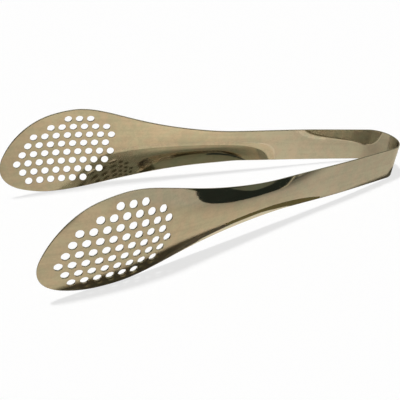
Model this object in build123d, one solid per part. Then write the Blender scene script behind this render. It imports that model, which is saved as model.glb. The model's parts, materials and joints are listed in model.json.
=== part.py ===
"""Serving tongs bent from one strip of stainless steel, lying open on a table.

A springy bow carries two arms that lean apart. Each arm leaves the bow as flat strip, is pressed
into a shallow gutter that stiffens it, and spreads into a dished spoon with punched drain holes.
The tongs lie on their edge: the bow's lower edge and the lower rims of both spoons touch the table.
The origin is on the table under the middle of the tongs. +X runs from the spoons to the bow,
+Y towards the right arm and +Z up. All sizes are in millimetres, and angles in degrees.
"""

import os
from math import atan2, cos, degrees, radians, sin

from build123d import *

# Steel strip
strip_width = 24.8
strip_thickness = 1.0

# Bow: a plain bend, with a short straight root at each end that flexes with it
bow_radius = 16.5
spring_root_length = 18.0
arm_lean = 11.1

# Arm, with places measured along its outer face from the end of the bend
arm_length = 271.0
gutter_start = 38.5
gutter_full = 120.0
gutter_radius = 29.2

# Spoon, whose lower half hangs deeper than its upper half rises, with lengths that end at its tip.
# The flare spreads the strip to the spoon's widest place, and the tip's length starts there.
upper_reach = 29.7
lower_reach = 32.0
tip_length = 35.0
flare_length = 136.0
curl_length = 80.0
curl_radius = 270.5
dish_length = 46.0
dish_blend_length = 113.0
dish_cross_radius = 115.0
dish_turn_length = 71.0
dish_turn_drop = 7.5

# Edges of the flare: share of the flare's length, share of the spread beyond the strip
upper_flare_shares = ((0.09, 0.005), (0.29, 0.135), (0.515, 0.445),
                      (0.70, 0.81), (0.87, 1.0), (0.96, 0.90))
lower_flare_shares = ((0.09, 0.035), (0.29, 0.16), (0.515, 0.405),
                      (0.70, 0.69), (0.88, 0.94), (1.0, 1.0))

# Rounded end from top to bottom: share of the length past the flare, share of the reach
tip_shares = ((0.17, 0.82), (0.49, 0.58), (0.715, 0.31), (0.915, -0.055), (1.0, -0.37),
              (0.945, -0.615), (0.75, -0.82), (0.49, -0.93), (0.25, -0.985))

# Drain holes in staggered rows parallel to the arm, from the lowest row to the highest
hole_diameter = 5.0
hole_pitch = 7.5
hole_edge_land = 3.5
pattern_end_gap = 11.4
pattern_drop = 9.85
pattern_turn = -0.8
stagger_angle = 60.0
hole_rows = ((-2, 1.0, 6), (-1, 0.5, 8), (0, 0.0, 9), (1, 0.5, 9),
             (2, 1.0, 8), (3, 1.5, 8), (4, 3.0, 6), (5, 4.5, 3))  # row, first place in pitches, count

# Making: extra sheet outside the outline, sections along the pressed sheet, points along the rim
trim_allowance = 4.0
section_count = 24
rim_sample_count = 400

strip_half = strip_width / 2
flare_end = arm_length - tip_length
flare_start = flare_end - flare_length
curl_start = arm_length - curl_length
dish_full = arm_length - dish_length
dish_start = dish_full - dish_blend_length
dish_turn_start = arm_length - dish_turn_length
lean = radians(arm_lean)
arm_direction = Vector(-cos(lean), sin(lean))
arm_outward = Vector(sin(lean), cos(lean))
arm_plane = Plane(origin=arm_outward * bow_radius, x_dir=arm_direction, z_dir=arm_outward)


def ease(value, start, end):
    """Smooth step from 0 at start to 1 at end."""
    share = min(max((value - start) / (end - start), 0), 1)
    return share * share * (3 - 2 * share)


def cross_curvature(along):
    """One over the cross radius: flat strip, then the gutter, then the wider dish of the spoon."""
    pressed = ease(along, gutter_start, gutter_full) / gutter_radius
    opened = ease(along, dish_start, dish_full) * (1 / gutter_radius - 1 / dish_cross_radius)
    return pressed - opened


def dish_axis(along):
    """Height of the deepest line of the dish, which turns down with the skewed end of the spoon."""
    return -dish_turn_drop * (max(along - dish_turn_start, 0) / dish_turn_length) ** 2


def skin(along, across, inward=0):
    """Point and outward normal of the pressed sheet in the arm's frame: X along, Y up, Z outward."""
    curl = max(along - curl_start, 0) / curl_radius
    outward = Vector(sin(curl), 0, cos(curl))
    spine = Vector(min(along, curl_start), 0, 0) + Vector(sin(curl), 0, cos(curl) - 1) * curl_radius
    hollow = cross_curvature(along)
    tilt = hollow * (across - dish_axis(along))
    height, sag = across, 0
    if hollow > 0:
        height = dish_axis(along) + sin(tilt) / hollow
        sag = (1 - cos(tilt)) / hollow
    normal = outward * cos(tilt) + Vector(0, sin(tilt), 0)
    return spine - outward * sag + Vector(0, height, 0) - normal * inward, normal


def flare_points(flare_shares, reach):
    """Places along and across the sheet where one edge of the flare runs."""
    spread = reach - strip_half
    return [(flare_start + a * flare_length, strip_half + b * spread) for a, b in flare_shares]


def rim_points():
    """Places along and across the sheet that the rim passes, from its upper to its lower edge."""
    upper = flare_points(upper_flare_shares, upper_reach)
    lower = [(along, -across) for along, across in flare_points(lower_flare_shares, lower_reach)]
    tip = [
        (flare_end + a * tip_length, b * (upper_reach if b > 0 else lower_reach))
        for a, b in tip_shares
    ]
    return [(flare_start, strip_half), *upper, *tip, *reversed(lower), (flare_start, -strip_half)]


def rim_curve(points):
    """Smooth rim through the points, leaving the strip's edges without a corner."""
    return Spline(points, tangents=[(1, 0), (-1, 0)])


def outline():
    """Flat shadow of one arm, from the bow's root round the spoon and back."""
    flat_points = [(skin(*place)[0].X, skin(*place)[0].Y) for place in rim_points()]
    upper_root, lower_root = (spring_root_length, strip_half), (spring_root_length, -strip_half)
    straights = Polyline(flat_points[-1], lower_root, upper_root, flat_points[0])
    return make_face([*rim_curve(flat_points).edges(), *straights.edges()]).face()


def sheet_section(along):
    """Cross-section of the pressed sheet, wider than the outline that it is trimmed to."""
    widest = max(upper_reach, lower_reach)
    half = strip_half + ease(along, flare_start, flare_end) * (widest - strip_half) + trim_allowance
    outer = [skin(along, across)[0] for across in (-half, 0, half)]
    inner = [skin(along, across, strip_thickness)[0] for across in (-half, 0, half)]
    ends = [Line(outer[0], inner[0]), Line(outer[2], inner[2])]
    if cross_curvature(along) > 0:
        return make_face([ThreePointArc(*outer), ThreePointArc(*inner), *ends])
    return make_face([Line(outer[0], outer[2]), Line(inner[0], inner[2]), *ends])


def pressed_sheet():
    """Flat strip and the gutter and dish pressed into it, before it is trimmed."""
    flat_length = gutter_start - spring_root_length
    flat = Pos(X=spring_root_length, Z=-strip_thickness / 2) * Box(
        flat_length, strip_width, strip_thickness, align=(Align.MIN, Align.CENTER, Align.CENTER)
    )
    step = (arm_length + trim_allowance - gutter_start) / section_count
    sections = [sheet_section(gutter_start + step * i) for i in range(section_count + 1)]
    return flat + loft(sections)


def hole_places():
    """Middles of the drain holes along and across the sheet, as the staggered rows lay them out."""
    turn = radians(pattern_turn)
    row_pitch = hole_pitch * sin(radians(stagger_angle))
    for row, first, count in hole_rows:
        for place in range(count):
            back, up = (first + place) * hole_pitch, row * row_pitch
            along = arm_length - pattern_end_gap - back * cos(turn) + up * sin(turn)
            yield along, up * cos(turn) + back * sin(turn) - pattern_drop


def hole_cutters(blank):
    """Punches square to the sheet, where a hole leaves its land of steel inside the rim."""
    edge = blank.outer_wire()
    cutters = []
    for place in hole_places():
        middle, normal = skin(*place, strip_thickness / 2)
        shadow = Vertex(middle.X, middle.Y, 0)
        clear = edge.distance_to(shadow) > hole_diameter / 2 + hole_edge_land
        if clear and blank.is_inside(shadow.center()):
            punch = Cylinder(hole_diameter / 2, 3 * strip_thickness)
            cutters.append(Plane(origin=middle, z_dir=normal) * punch)
    return cutters


def arm():
    """One arm in its own frame: the pressed sheet trimmed to the outline and punched."""
    blank = outline()
    depth = 2 * max(upper_reach, lower_reach)
    sheet = pressed_sheet() & extrude(blank, amount=depth, both=True)
    return sheet - hole_cutters(blank)


def bow():
    """The bend and its two straight roots, upright in the middle of the tongs."""
    faces = []
    for radius in (bow_radius, bow_radius - strip_thickness):
        right_end = arm_outward * radius + arm_direction * spring_root_length
        right_bend = arm_outward * radius
        left_end, left_bend = Vector(right_end.X, -right_end.Y), Vector(right_bend.X, -right_bend.Y)
        bend = ThreePointArc(right_bend, Vector(radius, 0), left_bend)
        faces.append([Line(right_end, right_bend), bend, Line(left_bend, left_end)])
    outer, inner = faces
    ends = [Line(outer[0] @ 0, inner[0] @ 0), Line(outer[2] @ 1, inner[2] @ 1)]
    return extrude(make_face([*outer, *inner, *ends]), amount=strip_half, both=True)


def resting_place():
    """Turn and shift that lay the tongs on the table with the origin under their middle."""
    rim = rim_curve(rim_points())
    samples = [rim.position_at(i / rim_sample_count) for i in range(rim_sample_count + 1)]
    faces = (0, strip_thickness)
    rim_3d = [arm_plane.from_local_coords(skin(p.X, p.Y, face)[0]) for p in samples for face in faces]
    turn = max(atan2(-p.Z - strip_half, bow_radius - p.X) for p in rim_3d)
    spoon_end = min(p.X * cos(turn) + p.Z * sin(turn) for p in rim_3d)
    bow_end = bow_radius * cos(turn) + strip_half * sin(turn)
    lift = bow_radius * sin(turn) + strip_half * cos(turn)
    return Pos(X=-(spoon_end + bow_end) / 2, Z=lift) * Rot(Y=degrees(turn))


def main():
    rest = resting_place()
    right_arm = arm_plane * arm()
    left_arm = mirror(right_arm, about=Plane.XZ)
    os.makedirs("parts", exist_ok=True)
    for name, solid in (("bow", bow()), ("right_arm", right_arm), ("left_arm", left_arm)):
        export_step(rest * solid, f"parts/{name}.step")


main()
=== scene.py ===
import json
from math import atan2, ceil, cos, pi, radians, sin

import bpy
import numpy as np
from mathutils import Matrix, Quaternion, Vector
from mathutils.geometry import delaunay_2d_cdt


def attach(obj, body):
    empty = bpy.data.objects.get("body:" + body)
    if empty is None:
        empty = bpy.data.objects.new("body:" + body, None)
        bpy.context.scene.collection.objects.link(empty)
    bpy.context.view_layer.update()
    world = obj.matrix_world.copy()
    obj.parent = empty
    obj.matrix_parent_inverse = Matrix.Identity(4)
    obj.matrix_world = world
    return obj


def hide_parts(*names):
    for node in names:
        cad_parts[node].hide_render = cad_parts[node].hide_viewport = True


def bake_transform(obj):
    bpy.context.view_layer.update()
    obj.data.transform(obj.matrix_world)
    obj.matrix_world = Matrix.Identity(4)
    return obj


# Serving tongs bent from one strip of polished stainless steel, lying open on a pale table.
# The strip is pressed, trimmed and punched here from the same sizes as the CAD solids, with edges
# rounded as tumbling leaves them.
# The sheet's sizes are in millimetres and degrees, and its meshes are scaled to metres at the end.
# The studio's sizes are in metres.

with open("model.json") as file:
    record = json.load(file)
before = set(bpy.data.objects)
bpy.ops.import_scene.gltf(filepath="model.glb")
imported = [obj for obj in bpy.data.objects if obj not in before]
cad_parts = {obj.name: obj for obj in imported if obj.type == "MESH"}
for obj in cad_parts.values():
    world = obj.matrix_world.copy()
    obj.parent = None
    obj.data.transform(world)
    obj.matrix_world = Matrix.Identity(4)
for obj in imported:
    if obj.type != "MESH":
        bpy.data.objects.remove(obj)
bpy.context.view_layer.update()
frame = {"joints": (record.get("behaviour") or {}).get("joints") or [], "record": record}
metres = 0.001
white = (1, 1, 1, 1)

# Steel strip and bow
strip_width = 24.8
strip_thickness = 1.0
bow_radius = 16.5
arm_lean = radians(11.1)

# Arm, with places measured along its outer face from the end of the bend
arm_length = 271.0
gutter_start = 38.5
gutter_full = 120.0
gutter_radius = 29.2
upper_reach = 29.7
lower_reach = 32.0
tip_length = 35.0
flare_length = 136.0
curl_length = 80.0
curl_radius = 270.5
dish_length = 46.0
dish_blend_length = 113.0
dish_cross_radius = 115.0
dish_turn_length = 71.0
dish_turn_drop = 7.5

# Edges of the flare: share of the flare's length, share of the spread beyond the strip
upper_flare_shares = ((0.09, 0.005), (0.29, 0.135), (0.515, 0.445),
                      (0.70, 0.81), (0.87, 1.0), (0.96, 0.90))
lower_flare_shares = ((0.09, 0.035), (0.29, 0.16), (0.515, 0.405),
                      (0.70, 0.69), (0.88, 0.94), (1.0, 1.0))

# Rounded end from top to bottom: share of the length past the flare, share of the reach
tip_shares = ((0.17, 0.82), (0.49, 0.58), (0.715, 0.31), (0.915, -0.055), (1.0, -0.37),
              (0.945, -0.615), (0.75, -0.82), (0.49, -0.93), (0.25, -0.985))

# Drain holes in staggered rows parallel to the arm
hole_radius = 2.5
hole_pitch = 7.5
pattern_end_gap = 11.4
pattern_drop = 9.85
pattern_turn = radians(-0.8)
stagger_angle = radians(60)
hole_rows = ((-2, 1.0, 6), (-1, 0.5, 8), (0, 0.0, 9), (1, 0.5, 9),
             (2, 1.0, 8), (3, 1.5, 8), (4, 3.0, 6), (5, 4.5, 3))  # row, first place in pitches, count

# Finishing of the edges, and how finely the sheet is divided
rim_round = 0.28
hole_round = 0.16
round_steps = 4
grid_pitch = 2.0
rim_pitch = 1.1
hole_sides = 40
bend_sides = 80
grid_clearance_share = 0.55
tangent_step = 0.01

# Filling of the faces with triangles: nearer points are welded, and only what is inside stays
weld_distance = 1e-7
keep_inside_edges = 1

# Finish of the inner face: how much the flat strip leans in, how far above the gutter's middle it is
# deepest, and between which places along
inner_lean = radians(0.5)
inner_lean_fades = (60.0, 110.0)
inner_rise = 4.6
inner_rise_grows = (42.0, 82.0)
inner_rise_fades = (200.0, 260.0)

# Sizes that follow from the ones above
strip_half = strip_width / 2
flare_end = arm_length - tip_length
flare_start = flare_end - flare_length
curl_start = arm_length - curl_length
dish_full = arm_length - dish_length
dish_start = dish_full - dish_blend_length
dish_turn_start = arm_length - dish_turn_length
bend_length = bow_radius * (pi - 2 * arm_lean)

# Steel: colours of its polished faces, of its faint pink and green cast and of the sheared edges
steel_colour = (0.50, 0.461, 0.378, 1)
steel_bright = (0.595, 0.536, 0.440, 1)
tint_range = (1.6, 2.4)
pinkish = (1.03, 0.985, 0.99, 1)
greenish = (0.97, 1.015, 1.01, 1)
cast_range = (0.35, 0.65)
# The sheared edges are darkened partly as duller cut steel and partly as painted dark reflection on the
# rims.
sheared_edge_shade_colour = (0.06, 0.055, 0.035, 1)
sheared_edge_shade_share = 0.6

# Steel: painted shade inside the bend, where less light reaches: how much darker it is, how far from
# the bend's middle that fades, in metres, and at which shares of the thickness it sets in
bend_shade_colour = (0, 0, 0, 1)
bend_shade_share = 0.31
bend_shade_fades = (0.014, 0.030)
bend_shade_depth_shares = (0.2, 0.8)

# Steel: how often each unevenness repeats in a metre, along the strip and across it for two of them
grain_scale = (30, 2400, 2400)
streak_scale = (18, 420, 420)
cloud_scale = 22
smudge_scale = 55
wave_scale = 90
cast_scale = 130
mottle_scale = 150
speckle_scale = 700

# Steel: how rough the polish is, what grain, smudges and edges add to that, and how high the bumps
# are, in millimetres
polish_roughness = 0.06
grain_roughness = 0.06
smudge_roughness = 0.06
edge_roughness = 0.14
grain_height = 0.0006
wave_height = 0.010
bump_strength = 0.5

# Floor: half its side, its colour and glow as the camera sees it, and its glow in reflections
floor_half = 8.0
floor_seen = (0.25, 0.25, 0.25, 1)
camera_glow = 0.74
mirror_glow = 0.02

# Floor in reflections: its colour and its painted light level from left to right, and its cast once
# reflected twice
floor_left = (0.745, 0.655, 0.480, 1)
floor_right = (0.715, 0.660, 0.525, 1)
floor_colour_range = (0.0, 0.08)
floor_levels = (0.94, 0.85)
floor_level_range = (-0.04, 0.03)
twice_reflected = (0.97, 1.04, 1.10, 1)

# Floor in reflections: an oval of painted light between the arms, where it is lighter
between_middle = (0, 0.02, 0)
between_widths = (1.8, 1, 1)
between_radius = 0.075
between_light_gain = 0.42

# Floor in reflections: ovals of painted shade where it is dimmer, each with its middle, its turn in
# degrees, how wide it is along its axes, the radii between which it fades, and the share of light in its
# middle
shade_ovals = (
    ((-0.135, 0.0, 0), 0, (1, 0.9, 1), (0.02, 0.05), 0.88),
    ((0.126, -0.130, 0), -20, (2.3, 1, 1), (0.012, 0.062), 0.35),
    ((0.215, -0.188, 0), -43, (2, 1, 1), (0.02, 0.045), 0.4),
    ((-0.22, -0.75, 0), 0, (1, 3.6, 1), (0.168, 0.190), 0.15),
)

# Floor in reflections: a narrow oval of brown painted shadow where the left spoon stands
foot_shadow_middle = (-0.085, -0.0558, 0)
foot_shadow_turn = radians(5)
foot_shadow_widths = (10, 1, 1)
foot_shadow_radii = (0.003, 0.0055)
foot_shadow_colour = (0.34, 0.29, 0.155, 1)

# Cards that stand in front of the left arm, as X and Z: a dark thing, and on its side towards the
# arm a paler patch and a streak of light
dark_card_y = -0.0950
dark_card_colour = (0.025, 0.031, 0.025, 1)
dark_card_outline = (
    (0.016, 0.060), (0.016, 0.047), (0.011, 0.040), (0.008, 0.030), (0.009, 0.024),
    (0.015, 0.017), (0.023, 0.0125), (0.036, 0.006), (0.050, 0.003), (0.061, 0.001),
    (0.094, 0.001), (0.101, 0.009), (0.106, 0.018), (0.107, 0.060),
)
light_card_y = -0.0945
pale_patch_colour = (0.153, 0.168, 0.12, 1)
pale_patch_outline = (
    (0.046, 0.045), (0.052, 0.034), (0.058, 0.028), (0.064, 0.025), (0.072, 0.026),
    (0.080, 0.029), (0.086, 0.036), (0.084, 0.045),
)
light_streak_colour = (0.60, 0.54, 0.40, 1)
light_streak_outline = (
    (0.090, 0.001), (0.0966, 0.007), (0.0988, 0.016), (0.1005, 0.030), (0.1028, 0.030),
    (0.1022, 0.021), (0.1008, 0.012), (0.0985, 0.002), (0.095, 0.001),
)

# Dark screen further in front at the left, as X and Z, with its colour once reflected three times
screen_y = -0.34
screen_colour = (0.05, 0.045, 0.022, 1)
screen_deep_colour = (0.75, 0.85, 0.85, 1)
screen_outline = (
    (-0.35, 0), (-0.09, 0), (-0.09, 0.10), (-0.055, 0.10), (-0.055, 0.235), (-0.35, 0.235),
)

# Lines that lie just above the floor under the left arm, as X and Y: a painted shadow and a painted line
# of light
shadow_line_z = 0.0002
shadow_line_colour = (0.165, 0.142, 0.065, 1)
shadow_line_outline = (
    (-0.012, -0.0480), (0.000, -0.0470), (0.010, -0.0460), (0.020, -0.0445), (0.030, -0.0430),
    (0.040, -0.0405), (0.050, -0.0380), (0.060, -0.0350), (0.066, -0.0330), (0.060, -0.0300),
    (0.030, -0.0330), (0.000, -0.0400), (-0.012, -0.0440),
)
# A painted line of light on the table, glowing though it is no lamp.
light_line_z = 0.0003
light_line_colour = (0.95, 0.90, 0.72, 1)
light_line_outline = (
    (-0.046, -0.0440), (-0.034, -0.0448), (-0.020, -0.0432), (-0.010, -0.0425), (0.005, -0.0405),
    (0.015, -0.0392), (0.025, -0.0363), (0.035, -0.0345), (0.045, -0.0310), (0.060, -0.0265),
    (0.105, -0.0185), (0.105, -0.0165), (0.060, -0.0240), (0.020, -0.0330), (-0.010, -0.0380),
    (-0.034, -0.0430),
)

# Strips in the gap between the left arm and the floor, each with its name, the places along the arm
# in millimetres and the shares of the gap's height between which it stands, and its colour
gap_strips = (
    ("gap_shade", (-26, 48), (0.5, 1.0), (0.17, 0.145, 0.08, 1)),
    ("gap_light", (-26, 48), (0.0, 0.5), (0.92, 0.84, 0.65, 1)),
    ("gap_glow", (48, 200), (0.0, 1.0), (0.80, 0.71, 0.52, 1)),
    ("spoon_shade", (200, 272), (0.0, 1.0), (0.17, 0.15, 0.09, 1)),
)

# Sky in reflections: its colours, and the parts of a unit direction between which they change
sky_high = (0.95, 0.94, 0.80, 1)
sky_low_left = (0.35, 0.365, 0.29, 1)
sky_low_right = (0.62, 0.60, 0.46, 1)
room_low = (0.12, 0.118, 0.068, 1)
room_middle = (0.21, 0.21, 0.135, 1)
left_to_right = (-0.25, -0.10)
sky_rises = (0.40, 0.75)
room_rises = (0.15, 0.50)
room_tops = (0.60, 0.80)
front_to_back = (-0.2, 0.3)

# Light on the floor: the dome's colour, and a soft lamp with the direction in which it shines
dome_colour = (0.11, 0.11, 0.105, 1)
lamp_power = 2.88
lamp_spread = radians(6)
lamp_direction = (0.28, -0.10, -1)

# Camera at the photograph's viewpoint
camera_place = (-0.17565, -0.32049, 0.24253)
camera_azimuth = radians(-25.94)
camera_elevation = radians(33.63)
camera_roll = radians(2.99)
camera_sensor = 36
camera_lens = 56.77
camera_clip = (0.01, 50)


def ease(value, start, end):
    """Smooth step from 0 at start to 1 at end."""
    share = np.clip((value - start) / (end - start), 0, 1)
    return share * share * (3 - 2 * share)


def cross_curvature(along):
    """One over the cross radius: flat strip, then the gutter, then the wider dish of the spoon."""
    pressed = ease(along, gutter_start, gutter_full) / gutter_radius
    opened = ease(along, dish_start, dish_full) * (1 / gutter_radius - 1 / dish_cross_radius)
    return pressed - opened


def dish_axis(along):
    """Height of the deepest line of the dish, which turns down with the skewed end of the spoon."""
    return -dish_turn_drop * (np.maximum(along - dish_turn_start, 0) / dish_turn_length) ** 2


def skin(places, depth):
    """Points of the pressed sheet, depth below its outer face, in the arm's frame: X along, Y up,
    Z outward. Places are rows of along and across. Along is negative in the bow's bend."""
    along, across = places[:, 0], places[:, 1]
    curl = np.maximum(along - curl_start, 0) / curl_radius + np.minimum(along, 0) / bow_radius
    radius = np.where(along < 0, bow_radius, curl_radius)
    zero, one = np.zeros_like(along), np.ones_like(along)
    outward = np.stack([np.sin(curl), zero, np.cos(curl)], 1)
    level = np.stack([np.clip(along, 0, curl_start), zero, zero], 1)
    spine = level + np.stack([np.sin(curl), zero, np.cos(curl) - 1], 1) * radius[:, None]
    hollow = cross_curvature(along)
    pressed = hollow > 0
    rounding = np.where(pressed, hollow, one)
    tilt = hollow * (across - dish_axis(along))
    height = np.where(pressed, dish_axis(along) + np.sin(tilt) / rounding, across)
    sag = np.where(pressed, (1 - np.cos(tilt)) / rounding, zero)
    upward = np.array([0, 1, 0])
    normal = outward * np.cos(tilt)[:, None] + upward * np.sin(tilt)[:, None]
    return spine - outward * sag[:, None] + upward * height[:, None] - normal * depth


def unit(rows):
    """The rows scaled to length 1."""
    return rows / np.linalg.norm(rows, axis=1)[:, None]


def slope(places, sideways, depth):
    """Unit directions in which the sheet runs from these places when they shift sideways."""
    step = np.asarray(sideways) * tangent_step
    return unit(skin(places + step, depth) - skin(places - step, depth))


def facing(places, depth):
    """Outward unit normals of the sheet."""
    return unit(np.cross(slope(places, [1, 0], depth), slope(places, [0, 1], depth)))


def inner_facing(places, depth):
    """Normals of the inner face. The photograph's reflections show that the flat strip leans in a
    little, and that the gutter is pressed deepest a little above its middle."""
    normals = facing(places, depth)
    upward = np.cross(normals, np.cross(slope(places, [0, 1], depth), normals))
    along = places[:, 0]
    window = ease(along, *inner_rise_grows) * (1 - ease(along, *inner_rise_fades))
    lean_in = inner_lean * (1 - ease(along, *inner_lean_fades))
    turn = (inner_rise * window * cross_curvature(along) - lean_in)[:, None]
    return unit(upward) * np.sin(turn) - normals * np.cos(turn)


def flare_points(flare_shares, reach):
    """Places along and across the sheet where one edge of the flare runs."""
    spread = reach - strip_half
    return [(flare_start + a * flare_length, strip_half + b * spread) for a, b in flare_shares]


def rim_points():
    """Places along and across the sheet that the rim passes, from its upper to its lower edge."""
    upper = flare_points(upper_flare_shares, upper_reach)
    lower = [(along, -across) for along, across in flare_points(lower_flare_shares, lower_reach)]
    tip = [
        (flare_end + a * tip_length, b * (upper_reach if b > 0 else lower_reach))
        for a, b in tip_shares
    ]
    return [(flare_start, strip_half), *upper, *tip, *reversed(lower), (flare_start, -strip_half)]


def smooth_curve(points, start_slope, end_slope):
    """Places along the smooth curve through the points, and the direction of the curve there."""
    points = np.array(points)
    spans = np.linalg.norm(np.diff(points, axis=0), axis=1)
    count = len(points)
    rule, wanted = np.zeros((count, count)), np.zeros((count, 2))
    rule[0, 0] = rule[-1, -1] = 1
    wanted[0], wanted[-1] = start_slope, end_slope
    steps = np.diff(points, axis=0) / spans[:, None] ** 2
    for i in range(1, count - 1):
        before, after = 1 / spans[i - 1], 1 / spans[i]
        rule[i, i - 1 : i + 2] = before, 2 * (before + after), after
        wanted[i] = 3 * (steps[i - 1] + steps[i])
    slopes = np.linalg.solve(rule, wanted)
    places, directions = [], []
    for i, span in enumerate(spans):
        for t in np.arange(0, 1, 1 / ceil(span / rim_pitch)):
            start, end = points[i], points[i + 1]
            first, last = slopes[i] * span, slopes[i + 1] * span
            cubic, square = 2 * (start - end) + first + last, 3 * (end - start) - 2 * first - last
            places.append(start + t * (first + t * (square + t * cubic)))
            directions.append(first + t * (2 * square + t * 3 * cubic))
    return np.array([*places, points[-1]]), unit(np.array([*directions, slopes[-1]]))


def arm_rim():
    """Rim of one arm from the bend's upper edge round the spoon and back, with its directions."""
    curve, directions = smooth_curve(rim_points(), (1, 0), (-1, 0))
    straight = np.arange(0, flare_start, grid_pitch)
    upper = np.stack([straight, np.full_like(straight, strip_half)], 1)
    lower = np.stack([straight[::-1], np.full_like(straight, -strip_half)], 1)
    forward = np.tile([1.0, 0.0], (len(straight), 1))
    return np.concatenate([upper, curve, lower]), np.concatenate([forward, directions, -forward])


def hole_middles():
    """Middles of the drain holes along and across the sheet."""
    row_pitch = hole_pitch * sin(stagger_angle)
    middles = []
    for row, first, count in hole_rows:
        for place in range(count):
            back, up = (first + place) * hole_pitch, row * row_pitch
            along = arm_length - pattern_end_gap - back * cos(pattern_turn) + up * sin(pattern_turn)
            middles.append((along, up * cos(pattern_turn) + back * sin(pattern_turn) - pattern_drop))
    return np.array(middles)


def edge_steps(radius):
    """Steps round an edge from the outer to the inner face: inset from the edge, depth, and how
    much of the normal is along the outer face's normal and how much points out of the edge."""
    turns = [pi / 2 * step / round_steps for step in range(round_steps + 1)]
    outer = [(radius * (1 - sin(a)), radius * (1 - cos(a)), cos(a), sin(a)) for a in turns]
    inner = [(inset, strip_thickness - depth, -face, out) for inset, depth, face, out in outer]
    return [*outer, *reversed(inner)]


def end_heights():
    """Heights across the strip that its ends are divided at, from the lower to the upper edge."""
    inner_half = strip_half - rim_round
    return np.linspace(-inner_half, inner_half, ceil(strip_width / grid_pitch))


class Sheet:
    """Points of a piece of sheet with their normals, their places on the flat strip and how much
    edge there is at each, and the faces between them. Faces at a cut end have a normal of their own."""

    def __init__(self):
        self.points, self.normals, self.flat, self.edge = [], [], [], []
        self.faces, self.end_faces = [], []
        self.count = 0

    def add(self, places, depth, normals, edge):
        """Adds a row of points and returns their numbers."""
        self.points.append(skin(places, depth))
        self.normals.append(unit(normals))
        self.flat.append(np.column_stack([places, np.full(len(places), depth)]))
        self.edge.append(np.full(len(places), edge))
        self.count += len(places)
        return np.arange(self.count - len(places), self.count)

    def add_layer(self, places, depth, outer):
        """Adds points of the outer or the inner face."""
        normals = facing(places, depth) if outer else inner_facing(places, depth)
        return self.add(places, depth, normals, 0)

    def add_edge(self, line, directions, radius, outer_row, inner_row, closed):
        """Adds the rounded edge between a row of points of the outer face and one of the inner."""
        sideways = np.stack([-directions[:, 1], directions[:, 0]], 1)
        rows = [outer_row]
        for inset, depth, face, out in edge_steps(radius)[1:-1]:
            places = line - sideways * inset
            normals = facing(places, depth) * face + slope(places, sideways, depth) * out
            rows.append(self.add(places, depth, normals, out))
        rows.append(inner_row)
        for row, after in zip(rows, rows[1:]):
            for i in range(len(line) if closed else len(line) - 1):
                j = (i + 1) % len(line)
                self.faces.append((row[i], row[j], after[j], after[i]))
        return rows

    def add_end(self, outer_row, inner_row, upper_rows, lower_rows, upper_place, lower_place, flip):
        """Closes a cut end of the strip, whose rows of points run from its lower to its upper edge."""
        made = [
            (outer_row[i], outer_row[i + 1], inner_row[i + 1], inner_row[i])
            for i in range(len(outer_row) - 1)
        ]
        made.append(tuple(row[upper_place] for row in upper_rows))
        made.append(tuple(row[lower_place] for row in reversed(lower_rows)))
        for face in made:
            self.end_faces.append(len(self.faces))
            self.faces.append(tuple(reversed(face)) if flip else face)

    def build(self, name, mirrored):
        """Makes the mesh object, on the right or mirrored to the left."""
        points = in_scene(np.concatenate(self.points))
        normals = np.concatenate(self.normals) @ np.array(arm_place().to_3x3()).T
        if mirrored:
            points[:, 1] *= -1
            normals[:, 1] *= -1
        faces = [tuple(int(i) for i in (reversed(face) if mirrored else face)) for face in self.faces]
        mesh = bpy.data.meshes.new(name)
        mesh.from_pydata(points.tolist(), [], faces)
        mesh.polygons.foreach_set("use_smooth", [True] * len(faces))
        mesh.attributes.new("flat_place", "FLOAT_VECTOR", "POINT").data.foreach_set(
            "vector", (np.concatenate(self.flat) * metres).astype(np.float32).ravel()
        )
        mesh.attributes.new("edge_share", "FLOAT", "POINT").data.foreach_set(
            "value", np.concatenate(self.edge).astype(np.float32)
        )
        corners = np.zeros(len(mesh.loops), np.int32)
        mesh.loops.foreach_get("vertex_index", corners)
        corner_normals = normals[corners]
        for i in self.end_faces:
            for corner in mesh.polygons[i].loop_indices:
                corner_normals[corner] = mesh.polygons[i].normal
        mesh.normals_split_custom_set(corner_normals)
        piece = bpy.data.objects.new(name, mesh)
        bpy.context.scene.collection.objects.link(piece)
        return piece


def rest_place():
    """Where the strip's own frame, upright about the bow's middle, lies on the table. The bow's
    mount and the hinges of the arms give it."""
    mount = next(m for m in frame["record"]["mounts"] if m["name"] == "hang_loop")
    axis = Vector(frame["joints"][0]["axis"])
    return Matrix.Translation(mount["pos_m"]) @ Matrix.Rotation(atan2(axis.x, axis.z), 4, "Y")


def arm_place():
    """From the right arm's frame to the scene's."""
    along = Vector((-cos(arm_lean), sin(arm_lean), 0))
    outward = Vector((sin(arm_lean), cos(arm_lean), 0))
    turn = Matrix((along, outward.cross(along), outward)).transposed().to_4x4()
    return rest_place() @ Matrix.Translation(outward * bow_radius * metres) @ turn


def in_scene(points):
    """Points of the right arm's frame as they lie in the scene, in metres."""
    place = arm_place()
    return points @ np.array(place.to_3x3()).T * metres + np.array(place.translation)


def inside(places, ring):
    """Which places lie inside the closed ring."""
    found = np.zeros(len(places), bool)
    for (x0, y0), (x1, y1) in zip(ring, np.roll(ring, -1, axis=0)):
        if y0 != y1:
            crossed = (y0 > places[:, 1]) != (y1 > places[:, 1])
            found ^= crossed & (places[:, 0] < x0 + (places[:, 1] - y0) * (x1 - x0) / (y1 - y0))
    return found


def spare_places(ring, middles):
    """A staggered grid of places inside the ring, clear of it and of the holes."""
    rows = np.arange(-lower_reach, upper_reach, grid_pitch)
    columns = np.arange(0, arm_length, grid_pitch)
    grid = np.array([(a + grid_pitch / 2 * (i % 2), b) for i, b in enumerate(rows) for a in columns])
    grid = grid[inside(grid, ring)]
    clearance = grid_pitch * grid_clearance_share
    near_ring = np.linalg.norm(grid[:, None] - ring[None], axis=2).min(1) < clearance
    hole_gap = np.linalg.norm(grid[:, None] - middles[None], axis=2).min(1) - hole_radius - hole_round
    return grid[~near_ring & (hole_gap > clearance)]


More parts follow.
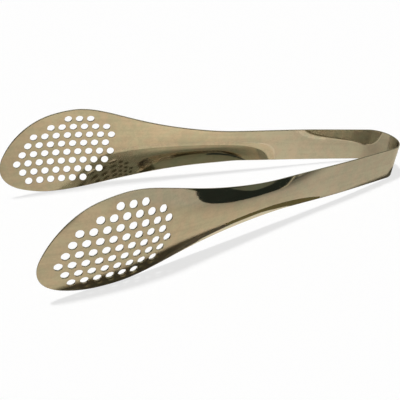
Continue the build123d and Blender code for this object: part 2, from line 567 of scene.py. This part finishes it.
def hole_line(middle):
    """The edge of one hole and its directions."""
    turns = np.arange(hole_sides) * 2 * pi / hole_sides
    spokes = np.stack([np.cos(turns), np.sin(turns)], 1)
    return middle + spokes * hole_radius, np.stack([-spokes[:, 1], spokes[:, 0]], 1)


def arm_sheet():
    """One arm: both faces in triangles, then the rounded rim, the holes and the cut end."""
    sheet = Sheet()
    line, directions = arm_rim()
    ring = line - np.stack([-directions[:, 1], directions[:, 0]], 1) * rim_round
    end = np.column_stack([np.zeros(len(end_heights())), end_heights()])
    middles = hole_middles()
    holes = [hole_line(middle) for middle in middles]
    widened = 1 + hole_round / hole_radius
    hole_rings = [middle + (hole[0] - middle) * widened for middle, hole in zip(middles, holes)]
    border = np.concatenate([ring, end[1:-1]])
    places = np.concatenate([border, *hole_rings, spare_places(border, middles)])
    edges = [(i, (i + 1) % len(border)) for i in range(len(border))]
    starts = [len(border) + k * hole_sides for k in range(len(holes))]
    for start in starts:
        edges += [(start + i, start + (i + 1) % hole_sides) for i in range(hole_sides)]
    vectors = [Vector(place) for place in places]
    made = delaunay_2d_cdt(vectors, edges, [], keep_inside_edges, weld_distance)
    number = [source[0] for source in made[3]]
    outer_row = sheet.add_layer(places, 0, True)
    inner_row = sheet.add_layer(places, strip_thickness, False)
    for face in made[2]:
        a, b, c = (number[i] for i in face)
        middle = (places[a] + places[b] + places[c]) / 3
        if np.linalg.norm(middles - middle, axis=1).min() > hole_radius:
            sheet.faces.append((outer_row[a], outer_row[b], outer_row[c]))
            sheet.faces.append((inner_row[c], inner_row[b], inner_row[a]))
    count = len(line)
    rows = sheet.add_edge(line, directions, rim_round, outer_row[:count], inner_row[:count], False)
    for start, hole in zip(starts, holes):
        span = slice(start, start + hole_sides)
        sheet.add_edge(*hole, hole_round, outer_row[span], inner_row[span], True)
    loop = [count - 1, *range(count, count + len(end) - 2), 0]
    sheet.add_end(outer_row[loop], inner_row[loop], rows, rows, 0, -1, False)
    return sheet


def bow_sheet():
    """The bend between the two arms, closed at both ends."""
    sheet = Sheet()
    alongs = np.linspace(-bend_length, 0, bend_sides + 1)
    outer, inner = [], []
    for height in end_heights():
        places = np.column_stack([alongs, np.full(len(alongs), height)])
        outer.append(sheet.add_layer(places, 0, True))
        inner.append(sheet.add_layer(places, strip_thickness, False))
    for outer_low, outer_high, inner_low, inner_high in zip(outer, outer[1:], inner, inner[1:]):
        for i in range(bend_sides):
            sheet.faces.append((outer_low[i], outer_low[i + 1], outer_high[i + 1], outer_high[i]))
            sheet.faces.append((inner_low[i], inner_high[i], inner_high[i + 1], inner_low[i + 1]))
    forward = np.tile([1.0, 0.0], (len(alongs), 1))
    upper = np.column_stack([alongs, np.full(len(alongs), strip_half)])
    lower = np.column_stack([alongs[::-1], np.full(len(alongs), -strip_half)])
    upper_rows = sheet.add_edge(upper, forward, rim_round, outer[-1], inner[-1], False)
    lower_rows = sheet.add_edge(lower, -forward, rim_round, outer[0][::-1], inner[0][::-1], False)
    for place, flip in ((0, False), (-1, True)):
        ends = [np.array([row[place] for row in rows]) for rows in (outer, inner)]
        sheet.add_end(*ends, upper_rows, lower_rows, place, -1 - place, flip)
    return sheet


class Nodes:
    """Short calls for a material's or the world's shader nodes."""

    def __init__(self, owner):
        owner.use_nodes = True
        self.tree = owner.node_tree
        self.tree.nodes.clear()

    def add(self, kind, inputs=None, **settings):
        """Adds a node, sets it up, and links or sets its inputs by name or number."""
        node = self.tree.nodes.new(kind)
        for name, value in settings.items():
            setattr(node, name, value)
        for key, value in (inputs or {}).items():
            if isinstance(value, bpy.types.NodeSocket):
                self.tree.links.new(value, node.inputs[key])
            else:
                node.inputs[key].default_value = value
        return node

    def math(self, operation, a, b=0.0):
        """Arithmetic on two values."""
        return self.add("ShaderNodeMath", {0: a, 1: b}, operation=operation).outputs[0]

    def remap(self, value, low, high, to_low, to_high, kind="SMOOTHSTEP"):
        """Maps a range of values to another, clamped."""
        inputs = {"Value": value, 1: low, 2: high, 3: to_low, 4: to_high}
        return self.add("ShaderNodeMapRange", inputs, interpolation_type=kind).outputs["Result"]

    def blend(self, share, first, second):
        """The first colour at a share of 0, turning into the second at 1."""
        return self.add("ShaderNodeMix", {0: share, 6: first, 7: second}, data_type="RGBA").outputs[2]

    def oval(self, position, middle, turn, widths):
        """Distance from the middle, with each axis of the turned oval divided by its width."""
        inputs = {"Vector": position, "Location": middle, "Rotation": (0, 0, turn), "Scale": widths}
        placed = self.add("ShaderNodeMapping", inputs, vector_type="TEXTURE").outputs[0]
        return self.add("ShaderNodeVectorMath", {0: placed}, operation="LENGTH").outputs["Value"]

    def product(self, first, second):
        """Two vectors or colours multiplied part by part."""
        return self.add("ShaderNodeVectorMath", {0: first, 1: second}, operation="MULTIPLY").outputs[0]

    def noise(self, vector, scale, detail=2.0, roughness=0.5):
        """Noise around one half."""
        inputs = {"Vector": vector, "Scale": scale, "Detail": detail, "Roughness": roughness}
        return self.add("ShaderNodeTexNoise", inputs).outputs["Fac"]

    def reflected(self, path, times):
        """1 for light that has been reflected at least this many times, else 0."""
        return self.math("GREATER_THAN", path.outputs["Ray Depth"], times - 0.5)

    def swing(self, noise, size):
        """Noise around one half, turned into a swing around zero."""
        return self.math("MULTIPLY", self.math("SUBTRACT", noise, 0.5), size)


def steel_roughness(nodes, grain, smudges, edge):
    """A polish that grain and smudges make uneven, and that is duller at the edges."""
    uneven = nodes.math(
        "ADD", nodes.swing(grain, grain_roughness), nodes.swing(smudges, smudge_roughness)
    )
    worn = nodes.math("MULTIPLY", edge, edge_roughness)
    return nodes.math("ADD", uneven, nodes.math("ADD", worn, polish_roughness))


def bend_shade(nodes, place):
    """Share of painted shade on the steel: on the inner face, close to the bend's middle."""
    strip = nodes.add("ShaderNodeSeparateXYZ", {0: place})
    along = nodes.math("ADD", strip.outputs["X"], bend_length / 2 * metres)
    depths = [share * strip_thickness * metres for share in bend_shade_depth_shares]
    inward = nodes.remap(strip.outputs["Z"], *depths, 0, 1)
    near = nodes.remap(nodes.math("ABSOLUTE", along), *bend_shade_fades, bend_shade_share, 0.0)
    return nodes.math("MULTIPLY", inward, near)


def steel_material():
    """Polished stainless steel with a warm tint, lengthwise grain and streaks, clouds, mottling,
    speckle, smudges and a faint cast. Its sheared edges are darker, partly as duller cut steel and
    partly as painted dark reflection, and the inside of the bend is darkened with painted shade."""
    material = bpy.data.materials.new("stainless_steel")
    nodes = Nodes(material)
    place = nodes.add("ShaderNodeAttribute", attribute_name="flat_place").outputs["Vector"]
    edge = nodes.add("ShaderNodeAttribute", attribute_name="edge_share").outputs["Fac"]
    grain = nodes.noise(nodes.product(place, grain_scale), 1, detail=3, roughness=0.6)
    streaks = nodes.noise(nodes.product(place, streak_scale), 1)
    clouds = nodes.noise(place, cloud_scale, detail=1)
    smudges = nodes.noise(place, smudge_scale, detail=3)
    waves = nodes.noise(place, wave_scale, detail=1)
    mottle = nodes.noise(place, mottle_scale, detail=3)
    speckle = nodes.noise(place, speckle_scale)
    large = nodes.math("ADD", clouds, streaks)
    small = nodes.math("ADD", mottle, speckle)
    tint = nodes.remap(nodes.math("ADD", large, small), *tint_range, 0, 1)
    cast = nodes.remap(nodes.noise(place, cast_scale), *cast_range, 0, 1)
    colour = nodes.blend(tint, steel_colour, steel_bright)
    colour = nodes.product(colour, nodes.blend(cast, pinkish, greenish))
    # Painted dark reflection on the rims, on top of the duller sheared steel.
    colour = nodes.blend(nodes.math("MULTIPLY", edge, sheared_edge_shade_share), colour, sheared_edge_shade_colour)
    # Painted shade inside the bend.
    colour = nodes.blend(bend_shade(nodes, place), colour, bend_shade_colour)
    grain_bumps = nodes.math("MULTIPLY", grain, grain_height)
    height = nodes.math("ADD", grain_bumps, nodes.math("MULTIPLY", waves, wave_height))
    bump = nodes.add("ShaderNodeBump", {"Height": height, "Strength": bump_strength, "Distance": metres})
    roughness = steel_roughness(nodes, grain, smudges, edge)
    shader = nodes.add(
        "ShaderNodeBsdfPrincipled",
        {"Base Color": colour, "Metallic": 1.0, "Roughness": roughness, "Normal": bump.outputs[0]},
    )
    nodes.add("ShaderNodeOutputMaterial", {"Surface": shader.outputs[0]})
    return material


def floor_level(nodes, position, rightward):
    """Painted light and shade on the floor in reflections: lighter between the arms, dimmer in a few
    ovals.
    """
    level = nodes.remap(rightward, *floor_level_range, *floor_levels)
    between = nodes.oval(position, between_middle, 0, between_widths)
    gain = nodes.remap(between, 0.0, between_radius, between_light_gain, 0.0, "LINEAR")
    level = nodes.math("ADD", level, gain)
    # Painted shade in each oval.
    for middle, turn, widths, radii, share in shade_ovals:
        distance = nodes.oval(position, middle, radians(turn), widths)
        level = nodes.math("MULTIPLY", level, nodes.remap(distance, *radii, share, 1.0))
    return level


def floor_reflection(nodes, path):
    """The floor's colour in reflections: warmer at the left, a brown painted shadow at the left spoon's
    foot, and cooler once reflected twice."""
    position = nodes.add("ShaderNodeNewGeometry").outputs["Position"]
    rightward = nodes.add("ShaderNodeSeparateXYZ", {0: position}).outputs["X"]
    level = floor_level(nodes, position, rightward)
    colour = nodes.blend(nodes.remap(rightward, *floor_colour_range, 0, 1), floor_left, floor_right)
    # Painted shadow where the left spoon stands.
    foot = nodes.oval(position, foot_shadow_middle, foot_shadow_turn, foot_shadow_widths)
    colour = nodes.blend(nodes.remap(foot, *foot_shadow_radii, 0, 1), foot_shadow_colour, colour)
    lit = nodes.add("ShaderNodeVectorMath", {0: colour, "Scale": level}, operation="SCALE").outputs[0]
    return nodes.product(lit, nodes.blend(nodes.reflected(path, 2), white, twice_reflected))


def floor_material():
    """Pale matt table. Towards the camera it is lifted to white, so that it is a plain ground with a
    faint shadow. Its colour in reflections is painted light and shade that differs from place to place."""
    material = bpy.data.materials.new("pale_table")
    nodes = Nodes(material)
    path = nodes.add("ShaderNodeLightPath")
    seen = path.outputs["Is Camera Ray"]
    glow = nodes.math("MULTIPLY", seen, camera_glow)
    for ray in ("Is Glossy Ray", "Is Transmission Ray"):
        glow = nodes.math("ADD", glow, nodes.math("MULTIPLY", path.outputs[ray], mirror_glow))
    colour = nodes.blend(seen, floor_reflection(nodes, path), floor_seen)
    diffuse = nodes.add("ShaderNodeBsdfDiffuse", {"Color": colour})
    light = nodes.add("ShaderNodeEmission", {"Strength": glow})
    both = nodes.add("ShaderNodeAddShader", {0: diffuse.outputs[0], 1: light.outputs[0]})
    nodes.add("ShaderNodeOutputMaterial", {"Surface": both.outputs[0]})
    return material


def flat_mesh(name, points, faces, material):
    """A stage object from plain points."""
    mesh = bpy.data.meshes.new(name)
    mesh.from_pydata(points, [], faces)
    mesh.materials.append(material)
    made = bpy.data.objects.new(name, mesh)
    bpy.context.scene.collection.objects.link(made)
    return made


def table():
    """The table that the tongs lie on, wide enough to fill every view."""
    corners = [(x * floor_half, y * floor_half, 0) for x, y in ((-1, -1), (1, -1), (1, 1), (-1, 1))]
    flat_mesh("table", corners, [(0, 1, 2, 3)], floor_material())


def card(name, points, colour, faces=None, deep_colour=None):
    """A glowing shape that only reflections show, one flat face if no faces are given. Light that has
    been reflected three times has a colour of its own where one is given."""
    material = bpy.data.materials.new(name)
    nodes = Nodes(material)
    deep = nodes.reflected(nodes.add("ShaderNodeLightPath"), 3)
    shown = nodes.blend(deep, colour, deep_colour or colour)
    light = nodes.add("ShaderNodeEmission", {"Color": shown, "Strength": 1.0})
    nodes.add("ShaderNodeOutputMaterial", {"Surface": light.outputs[0]})
    made = flat_mesh(name, points, faces or [tuple(range(len(points)))], material)
    made.visible_camera = False
    made.visible_diffuse = False
    made.visible_shadow = False


def standing(outline, y):
    """Points of a card that stands across the table."""
    return [(x, y, z) for x, z in outline]


def lying(outline, z):
    """Points of a card that lies just above the table."""
    return [(x, y, z) for x, y in outline]


def gap_cards():
    """What the right arm reflects of the gap between the left arm and the table: light, with shade
    above it beside the bow, and only shade under the spoon."""
    rim = arm_rim()[0]
    bend = [(along, -strip_half) for along in np.arange(-grid_pitch, -bend_length / 2, -grid_pitch)]
    line = np.concatenate([rim[rim[:, 1] < 0], bend])
    edge = in_scene(skin(line, strip_thickness))
    for name, (start, end), (low, high), colour in gap_strips:
        part = edge[(line[:, 0] >= start) & (line[:, 0] < end)] * (1, -1, 1)
        count = len(part)
        faces = [(i, i + 1, count + i + 1, count + i) for i in range(count - 1)]
        card(name, [*(part * (1, 1, high)).tolist(), *(part * (1, 1, low)).tolist()], colour, faces)


def cards():
    """What the photograph's metal reflects besides the table: a dark thing in front of the left arm
    with a paler patch and a streak of light, a dark screen further off at the left, a painted shadow
    line and a painted line of light on the table, and the gap under the left arm."""
    # Painted shadow of the left arm on the table.
    card("shadow_line", lying(shadow_line_outline, shadow_line_z), shadow_line_colour)
    screen = standing(screen_outline, screen_y)
    card("dark_screen", screen, screen_colour, deep_colour=screen_deep_colour)
    gap_cards()
    card("dark_card", standing(dark_card_outline, dark_card_y), dark_card_colour)
    card("pale_patch", standing(pale_patch_outline, light_card_y), pale_patch_colour)
    card("light_streak", standing(light_streak_outline, light_card_y), light_streak_colour)
    # Painted line of light on the table.
    card("light_line", lying(light_line_outline, light_line_z), light_line_colour)


def sky_reflection(nodes):
    """The sky's colour in reflections: light high up, dim low in front and at the left, and half
    light low behind."""
    direction = nodes.add("ShaderNodeTexCoord").outputs["Generated"]
    axes = nodes.add("ShaderNodeSeparateXYZ", {0: direction}).outputs
    up = axes["Z"]
    low = nodes.blend(nodes.remap(axes["X"], *left_to_right, 0, 1), sky_low_left, sky_low_right)
    behind = nodes.blend(nodes.remap(up, *sky_rises, 0, 1), low, sky_high)
    room = nodes.blend(nodes.remap(up, *room_rises, 0, 1), room_low, room_middle)
    room = nodes.blend(nodes.remap(up, *room_tops, 0, 1), room, sky_high)
    backward = nodes.math("ADD", axes["Y"], nodes.math("MINIMUM", axes["X"], 0.0))
    return nodes.blend(nodes.remap(backward, *front_to_back, 0, 1), room, behind)


def studio():
    """A soft lamp high up and a dim dome light the table. The camera sees the dome white, and the
    steel, which doesn't reflect the lamp, reflects a colour that differs by direction."""
    world = bpy.data.worlds.new("studio")
    bpy.context.scene.world = world
    nodes = Nodes(world)
    path = nodes.add("ShaderNodeLightPath")
    colour = nodes.blend(path.outputs["Is Diffuse Ray"], sky_reflection(nodes), dome_colour)
    colour = nodes.blend(path.outputs["Is Camera Ray"], colour, white)
    sky = nodes.add("ShaderNodeBackground", {"Color": colour, "Strength": 1.0})
    nodes.add("ShaderNodeOutputWorld", {"Surface": sky.outputs[0]})
    lamp = bpy.data.lights.new("key", "SUN")
    lamp.energy = lamp_power
    lamp.angle = lamp_spread
    key = bpy.data.objects.new("key", lamp)
    key.visible_glossy = False
    key.rotation_mode = "QUATERNION"
    key.rotation_quaternion = Vector(lamp_direction).to_track_quat("-Z", "Y")
    bpy.context.scene.collection.objects.link(key)


def camera():
    """The photograph's viewpoint."""
    level = cos(camera_elevation)
    back = Vector((sin(camera_azimuth) * level, -cos(camera_azimuth) * level, sin(camera_elevation)))
    data = bpy.data.cameras.new("camera")
    data.sensor_width = camera_sensor
    data.lens = camera_lens
    data.clip_start, data.clip_end = camera_clip
    made = bpy.data.objects.new("camera", data)
    made.location = camera_place
    made.rotation_mode = "QUATERNION"
    made.rotation_quaternion = (-back).to_track_quat("-Z", "Y") @ Quaternion((0, 0, 1), camera_roll)
    bpy.context.scene.collection.objects.link(made)
    bpy.context.scene.camera = made


def tongs():
    """The three pieces of the strip: the bend, and an arm on each side."""
    steel = steel_material()
    bow = bow_sheet().build("bow_strip", False)
    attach(bow, "bow")
    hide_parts("bow")
    arm = arm_sheet()
    pieces = [bow]
    for side, mirrored in (("right", False), ("left", True)):
        piece = arm.build(f"{side}_arm_strip", mirrored)
        body = f"{side}_arm"
        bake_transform(piece)
        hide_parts(body, "bow")
        pieces.append(piece)
    for piece in pieces:
        piece.data.materials.append(steel)


tongs()
table()
cards()
studio()
camera()
bpy.context.scene.view_settings.view_transform = "Standard"
